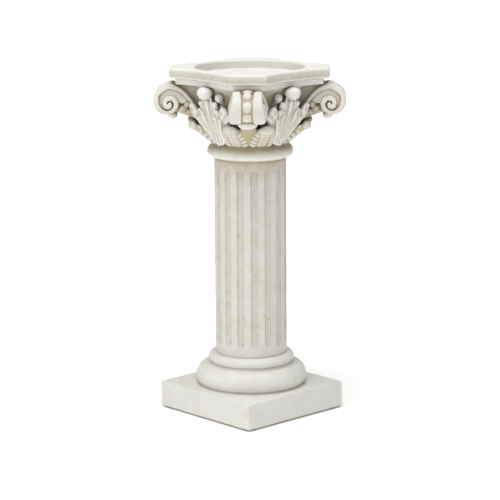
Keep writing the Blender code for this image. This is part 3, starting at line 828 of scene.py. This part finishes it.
def egg(centre, size, angle, wash=0.0, rows=18, columns=28):
    """An egg with its own depth, width and height, turned about the vertical."""
    tall = np.linspace(-math.pi / 2 + 0.06, math.pi / 2 - 0.06, rows)[:, None]
    turn = 2 * math.pi * np.arange(columns) / columns
    outward, sideways = along(angle)
    deep = size[0] / 2 * np.cos(tall) * np.cos(turn)
    wide = size[1] / 2 * np.cos(tall) * np.sin(turn)
    high = size[2] / 2 * np.sin(tall) * np.ones(columns)
    rings = centre + deep[..., None] * outward + wide[..., None] * sideways + high[..., None] * UPWARDS
    return closed_shell(rings, wash)


def spot(out, high):
    """A place in shares of the volute's height from the spiral's eye, as (distance from the axis, z)."""
    return np.stack(np.broadcast_arrays(eye_out + out * VOLUTE_HEIGHT, eye_high + high * VOLUTE_HEIGHT), -1)


def spots(rows):
    """The same for rows of (out, high)."""
    return spot(*np.transpose(rows))


def polar(quarters, radius):
    """A place on the spiral by quarter turns from its top, clockwise."""
    turn = QUARTER * (1 - np.asarray(quarters, float))
    return spot(radius * np.cos(turn), radius * np.sin(turn))


def place(at, side, deep, outward, sideways):
    """A point on a band's outer face, or this share of the band's thickness under it.

    The bands splay apart towards the column. Their outer side swells towards the ground and rounds in
    again at the very bottom: the share of the height d times 1 - 0.9 times the eighth power of d.
    """
    out, high = at[..., 0], at[..., 1]
    inner = VOLUTE_WIDTH / 2 - BAND_THICKNESS + (volute_rim - out) * math.tan(VOLUTE_SPLAY)
    down = np.clip((bell_top - high) / VOLUTE_HEIGHT, 0, 1)
    thick = BAND_THICKNESS + VOLUTE_WIDENING * down * (1 - 0.9 * down ** 8)
    lateral = inner + thick * (1 - deep)
    return outward * out[..., None] + sideways * side * lateral[..., None] + UPWARDS * high[..., None]


half_turns = np.arange(len(SPIRAL_OUTER)) / 2
spiral_outer, spiral_inner = np.array(SPIRAL_OUTER), np.array(SPIRAL_INNER)
outer_edge = smooth_line(np.concatenate([spots(STRAP_UPPER), polar(half_turns, spiral_outer)]), 8)
inner_edge = smooth_line(np.concatenate([spots(STRAP_LOWER), polar(half_turns, spiral_inner)]), 8)
turn = 2 * math.pi * np.arange(36) / 36
over = 0.5 - 0.5 * np.sign(np.cos(turn)) * np.abs(np.cos(turn)) ** 0.40
under = 0.5 - 0.5 * np.sign(np.sin(turn)) * np.abs(np.sin(turn)) ** 0.50


def slab_between(outline, deep, outward, sideways, wash, rim_wash):
    """A closed form between two mirrored flat outlines, this share of the bands' thickness under them."""
    middle = outline.mean(0)
    shares = (0.05, 0.4, 0.75, 0.98, 1.0, 1.0, 0.98, 0.75, 0.4, 0.05)
    signs = (-1, -1, -1, -1, -0.97, 0.97, 1, 1, 1, 1)
    rings = []
    for share, side in zip(shares, signs):
        rings.append(place(middle + (outline - middle) * share, side, deep, outward, sideways))
    glaze = np.where(np.abs(signs) < 1, rim_wash, wash)
    return closed_shell(np.array(rings), glaze[:, None])


def volute(angle):
    """All closed forms of one corner's volute: bands, calyx lobes, core, sunk panel, beads and tongue."""
    outward, sideways = along(angle)
    shells = []
    for side in (-1, 1):
        at = outer_edge[:, None] * (1 - over[:, None]) + inner_edge[:, None] * over[:, None]
        band = place(at, side, under, outward, sideways)
        shells.append(closed_shell(band, BAND_FILM))
        for rows in CALYX:
            line = smooth_line(rows, 8)
            points = place(spot(line[:, 0], line[:, 1]), side, line[:, 2], outward, sideways)
            closing = blunt(len(line), 0.25, 0.25) * LOBE_WIDTH / 2
            widths, depths = line[:, 3] * closing, line[:, 4] * closing
            shells.append(closed_shell(loft(points, widths, depths, outward * side + UPWARDS), CALYX_FILM))
    quarters = np.linspace(-0.12, 2.4, 40)
    sunk = np.interp(quarters, (-0.12, 0.15), (0.06, 0.17))
    core = np.concatenate([spots(CORE_TOP),
                           polar(quarters, np.interp(quarters, half_turns, spiral_outer) - sunk),
                           spots(CORE_UNDER),
                           [(bell_radius(0.30), bell_foot + 0.30 * BELL_HEIGHT),
                            (bell_radius(0.36) - 2 * LET_IN, bell_foot + 0.36 * BELL_HEIGHT),
                            (BELL_LIP_RADIUS - 4 * LET_IN, bell_top + 0.5 * LET_IN)]])
    shells.append(slab_between(core, CORE_DEEP, outward, sideways, CORE_FILM, CORE_RIM_FILM))
    quarters = np.linspace(0.1, 3.1, 50)
    within = PANEL_SHARE * np.interp(quarters, half_turns, spiral_outer)
    panel = np.concatenate([spots(PANEL_TAIL), polar(quarters, within)])
    shells.append(slab_between(panel, PANEL_DEEP, outward, sideways, PANEL_FILM, PANEL_RIM_FILM))
    for out, high, size in BEADS:
        at = spot(out, high)
        shells.append(egg(outward * at[0] + UPWARDS * at[1], size, angle, BAND_FILM))
    at = spot(*TONGUE_SPOT)
    size = (TONGUE_DEPTH, TONGUE_WIDTH, TONGUE_HEIGHT)
    shells.append(egg(outward * at[0] + UPWARDS * at[1], size, angle, TONGUE_FILM))
    return shells


for quarter, corner_name in enumerate(("front", "right", "back", "left")):
    volute_piece = make_mesh(corner_name + "_volute", volute(CORNER + quarter * QUARTER))
    set_on_column(volute_piece)

# Tall leaves
# An acanthus leaf on the middle of each side: a hollow palm whose lobes fan out from its foot, and a
# heavy tip that curls over under the fascia. Cast as one, softened by the mould and drilled in places.
MM = 0.001
GRAIN = 0.0009
ROUNDED = 3
WORN_DOWN = 60
CHANNEL_DEPTH = 0.0006
CHANNEL_GLAZE = 0.90
LEAF_RIPPLE = (0.004, 0.00035)
TALL_FILM = 0.27
TIP_SHARE = 0.80
TIP_FADE = 0.08
TIP_RUBBED = 1.6
PALM_CUP = -0.22
PALM = (
    (0, 6, -0.02, 7, 4), (0, 13, 0.12, 13, 4), (0, 18, 0.28, 22, 4), (0, 20, 0.44, 30, 4),
    (0, 19, 0.56, 26, 4), (0, 15, 0.74, 14, 4.5), (0, 8, 0.93, 11, 4.5),
)
RIB = (
    (0, 11, -0.02, 3.4, 5), (0, 15.5, 0.20, 5.0, 5), (0, 18.5, 0.42, 6.2, 5), (0, 18.5, 0.60, 6.4, 5),
    (0, 17, 0.80, 7.0, 5),
)
TALL_LOBES = (
    ((3.5, 9.5, -0.01, 3.4, 4), (8, 15.5, 0.18, 6.0, 5), (14, 20.5, 0.38, 8.6, 5.2),
     (19, 23.5, 0.54, 9.0, 5.2), (20.5, 25, 0.63, 6.6, 5)),
    ((7, 8.5, 0.01, 3.2, 4), (17, 16, 0.18, 6.6, 5), (28, 22, 0.37, 8.6, 5.4), (37.5, 27, 0.57, 8.4, 5.6),
     (41, 29.5, 0.70, 6.0, 5.2)),
    ((24, 18, 0.26, 5.2, 4.4), (32, 22.5, 0.36, 6.0, 4.6), (38, 24, 0.41, 5.0, 4.4)),
    ((34, 25, 0.42, 5.2, 4.4), (42, 28, 0.51, 6.0, 4.8), (47, 29, 0.57, 5.0, 4.6)),
    ((9, 14, 0.50, 6, 4.4), (13, 16.5, 0.62, 6.4, 4.6), (16.5, 18.5, 0.71, 5.6, 4.4),
     (17.5, 19, 0.76, 4.8, 4.2)),
)
CURLED_TIP = ((0, 14.5, -8.5, (26, 29, 19.5)), (1, 17, -14, (18, 20, 14)))
DRILLED = (
    (7.0, 0.785, 1.2, 3.0, 3.5), (8.2, 0.430, 1.5, 3.2, 1.8), (18.8, 0.545, 2.8, 4.8, 1.8),
    (26.8, 0.500, 1.0, 2.6, 3.5), (37.5, 0.605, 2.4, 4.6, 1.5), (33.5, 0.375, 2.2, 2.6, 1.1),
    (43.5, 0.525, 2.2, 2.8, 1.1),
)
HOLE_REACH = 0.008
HOLE_GLAZE = 0.50


def on_bell(angle, aside, proud, share):
    """Places on a leaf: metres aside and outward from the bell, and a share of its height."""
    radius = bell_radius(share) + proud
    turned_to = angle + aside / radius
    height = bell_foot + share * BELL_HEIGHT
    return np.stack([radius * np.cos(turned_to), radius * np.sin(turned_to), height], -1)


def lobe(angle, rows, side=1, crown=0.0, groove=0.0, head=0.08, tail=0.18, wash=0.0):
    """One lobe of a leaf, from rows of (aside, proud, share of the bell, half width, half depth) in mm."""
    line = smooth_line(rows, 12)
    line[:, [0, 1, 3, 4]] *= MM
    points = on_bell(angle, side * line[:, 0], line[:, 1], line[:, 2])
    around = np.arctan2(points[:, 1], points[:, 0])
    sideways = np.stack([-np.sin(around), np.cos(around), np.zeros(len(around))], -1)
    closing = blunt(len(line), head, tail)
    rings = loft(points, line[:, 3] * closing, line[:, 4] * closing, sideways, crown, groove)
    return closed_shell(rings, wash)


def one_skin(name, shells, passes, angle, film, holes=()):
    """Unites overlapping forms into one even skin, rounds it as a mould does, and drills its dark holes.

    A hole is (aside, share of the bell's height, half width, half height, depth) in mm, on both sides.
    Points near its middle sink towards the axis by a bell curve, and hold glaze by the hole's depth.
    Elsewhere a thin film lies up to the tip, which is rubbed clean, and more of it where a point is lower
    than the same skin smoothed much further, so in every channel.
    """
    draft = make_mesh(name, shells)
    merge = draft.modifiers.new("one skin", "REMESH")
    merge.mode = "VOXEL"
    merge.voxel_size = GRAIN
    rounding = draft.modifiers.new("moulded edges", "SMOOTH")
    rounding.factor = 0.5
    rounding.iterations = WORN_DOWN
    worn = bpy.data.meshes.new_from_object(draft.evaluated_get(bpy.context.evaluated_depsgraph_get()))
    rounding.iterations = passes
    mesh = bpy.data.meshes.new_from_object(draft.evaluated_get(bpy.context.evaluated_depsgraph_get()))
    rough = draft.data
    draft.modifiers.clear()
    draft.data = mesh
    bpy.data.meshes.remove(rough)
    mesh.name = name
    points, worn_points, normals = (np.empty(len(mesh.vertices) * 3, np.float32) for _ in range(3))
    mesh.vertices.foreach_get("co", points)
    worn.vertices.foreach_get("co", worn_points)
    mesh.vertex_normals.foreach_get("vector", normals)
    bpy.data.meshes.remove(worn)
    flat = (points, worn_points, normals)
    points, worn_points, normals = (values.reshape(-1, 3).astype(float) for values in flat)
    sunk = ((worn_points - points) * normals).sum(-1)
    tip = np.clip((points[:, 2] - bell_foot - TIP_SHARE * BELL_HEIGHT) / (TIP_FADE * BELL_HEIGHT), 0, 1)
    glaze = film * (1 - TIP_RUBBED * tip) + CHANNEL_GLAZE * np.clip(sunk / CHANNEL_DEPTH, -0.3, 1)
    radius = np.hypot(points[:, 0], points[:, 1])
    turned_by = (np.arctan2(points[:, 1], points[:, 0]) - angle + math.pi) % (2 * math.pi) - math.pi
    aside = turned_by * radius
    for across, share, wide, high, deep in holes:
        near = ((np.abs(aside) - across * MM) / (wide * MM)) ** 2
        near += ((points[:, 2] - bell_foot - share * BELL_HEIGHT) / (high * MM)) ** 2
        hole = deep * np.exp(-near) * (radius > bell_radius(share) + HOLE_REACH)
        points[:, :2] *= (1 - MM * hole / radius)[:, None]
        glaze = np.maximum(glaze, HOLE_GLAZE * hole)
    points[:, :2] *= (1 + ripple(points, *LEAF_RIPPLE) / radius)[:, None]
    mesh.vertices.foreach_set("co", points.astype(np.float32).ravel())
    mesh.shade_smooth()
    layer = mesh.attributes.get("wash") or mesh.attributes.new("wash", "FLOAT", "POINT")
    layer.data.foreach_set("value", glaze.astype(np.float32))
    mesh.update()
    return draft


def tall_leaf(angle):
    """All closed forms of one tall leaf: palm, rib, lobes, and a tip of eggs that hang from the bell's lip.

    A row of the tip is (aside, proud, height over the bell's top, size) in mm.
    """
    shells = [lobe(angle, PALM, crown=PALM_CUP), lobe(angle, RIB)]
    for side in (-1, 1):
        shells += [lobe(angle, rows, side) for rows in TALL_LOBES]
    for aside, proud, high, size in CURLED_TIP:
        radius = bell_radius(1 + high * MM / BELL_HEIGHT) + proud * MM
        outward, _ = along(angle + aside * MM / radius)
        at = outward * radius + UPWARDS * (bell_top + high * MM)
        shells.append(egg(at, [part * MM for part in size], angle))
    return shells


for quarter, side_name in enumerate(("right", "far_right", "far_left", "left")):
    leaf_angle = CORNER + QUARTER / 2 + quarter * QUARTER
    shells = tall_leaf(leaf_angle)
    leaf = one_skin(side_name + "_tall_leaf", shells, ROUNDED, leaf_angle, TALL_FILM, DRILLED)
    set_on_column(leaf)

# Short leaves
# Two broad leaves under each volute, leaning out over the collar, with scalloped edges and a tip that
# rolls into a ball.
SHORT_LEAF_ANGLE = math.radians(17.5)
SHORT_LEAF_ROUNDED = 2
SHORT_LEAF_FILM = 0.46
SHORT_LEAF_CROWN = 0.42
SHORT_LEAF_GROOVE = 0.22
SHORT_LEAF = (
    (0, 2, -0.03, 13, 4), (0, 10, 0.04, 17.5, 4.8), (0, 18, 0.11, 18.5, 5), (0, 25, 0.18, 17.5, 5),
    (0, 32.5, 0.25, 15, 6), (0, 37, 0.30, 12.5, 7),
)
SHORT_LOBES = (
    ((8, 3, -0.025, 4.8, 4), (13, 2.5, -0.015, 5.4, 4.2), (17, 1, -0.005, 4.2, 3.8)),
    ((9, 8, 0.03, 5.0, 4), (15.5, 7.5, 0.045, 6.0, 4.4), (19.5, 5.5, 0.055, 4.8, 4)),
    ((9, 15, 0.09, 5.0, 4), (15.5, 14.5, 0.11, 6.0, 4.4), (19.8, 12, 0.125, 4.8, 4)),
    ((9, 22, 0.155, 5.0, 4), (14.5, 21, 0.18, 6.0, 4.4), (18.3, 18.5, 0.20, 4.8, 4)),
    ((7, 28, 0.215, 5.0, 4), (12, 27.5, 0.245, 6.0, 4.4), (15.5, 25.5, 0.27, 4.8, 4)),
)
ROLLED_TIP = (0.0155, 0.0265, 0.0150)
ROLLED_TIP_SHARE = 0.305
ROLLED_TIP_PROUD = 0.0375


def short_leaf(angle):
    """All closed forms of one short leaf: its crowned palm, its lobes and the ball at its tip."""
    shells = [lobe(angle, SHORT_LEAF, crown=SHORT_LEAF_CROWN, groove=SHORT_LEAF_GROOVE)]
    for side in (-1, 1):
        shells += [lobe(angle, rows, side, head=0.05, tail=0.35) for rows in SHORT_LOBES]
    outward, _ = along(angle)
    radius = bell_radius(ROLLED_TIP_SHARE) + ROLLED_TIP_PROUD
    at = outward * radius + UPWARDS * (bell_foot + ROLLED_TIP_SHARE * BELL_HEIGHT)
    shells.append(egg(at, ROLLED_TIP, angle))
    return shells


for quarter, corner_name in enumerate(("front", "right", "back", "left")):
    for way, way_name in ((-1, "_first"), (1, "_second")):
        leaf_angle = CORNER + quarter * QUARTER + way * SHORT_LEAF_ANGLE
        shells = short_leaf(leaf_angle)
        name = corner_name + way_name + "_short_leaf"
        leaf = one_skin(name, shells, SHORT_LEAF_ROUNDED, leaf_angle, SHORT_LEAF_FILM)
        set_on_column(leaf)

# Buds and stems
# A round bud on a short stalk to each side of a tall leaf's tip, with a small sepal under it, and at each
# corner a smooth stem that swells from the bell's foot up to the volute's tongue.
BUD_ANGLE = math.radians(12.5)
BUD_OUT = 0.0930
BUD_HIGH = 0.5640
BUD_SIZE = (0.0160, 0.0148, 0.0165)
STALK = ((0, -4, 0.66, 3.8, 3.8), (0, 2, 0.74, 4.2, 4.2), (0, 6, 0.80, 4.4, 4.4))
SEPAL = ((0, -2, 0.60, 3.5, 3), (0, 5, 0.655, 4.2, 3.2), (0, 9.5, 0.70, 3.4, 3))
STEM = (
    (0, 0, -0.03, 4, 4), (0, 6, 0.06, 6, 5), (0, 14, 0.15, 10, 6), (0, 25, 0.26, 14, 7), (0, 39, 0.40, 14, 7),
)
STEM_GLAZE = 1.30

shells = []
for quarter in range(4):
    shells.append(lobe(CORNER + quarter * QUARTER, STEM, wash=STEM_GLAZE))
    for way in (-1, 1):
        bud_angle = CORNER + QUARTER / 2 + quarter * QUARTER + way * BUD_ANGLE
        outward, _ = along(bud_angle)
        at = outward * BUD_OUT + UPWARDS * BUD_HIGH
        shells.append(egg(at, BUD_SIZE, bud_angle))
        shells.append(lobe(bud_angle, STALK))
        shells.append(lobe(bud_angle, SEPAL, tail=0.30))
buds = make_mesh("buds_and_stems", shells)
set_on_column(buds)
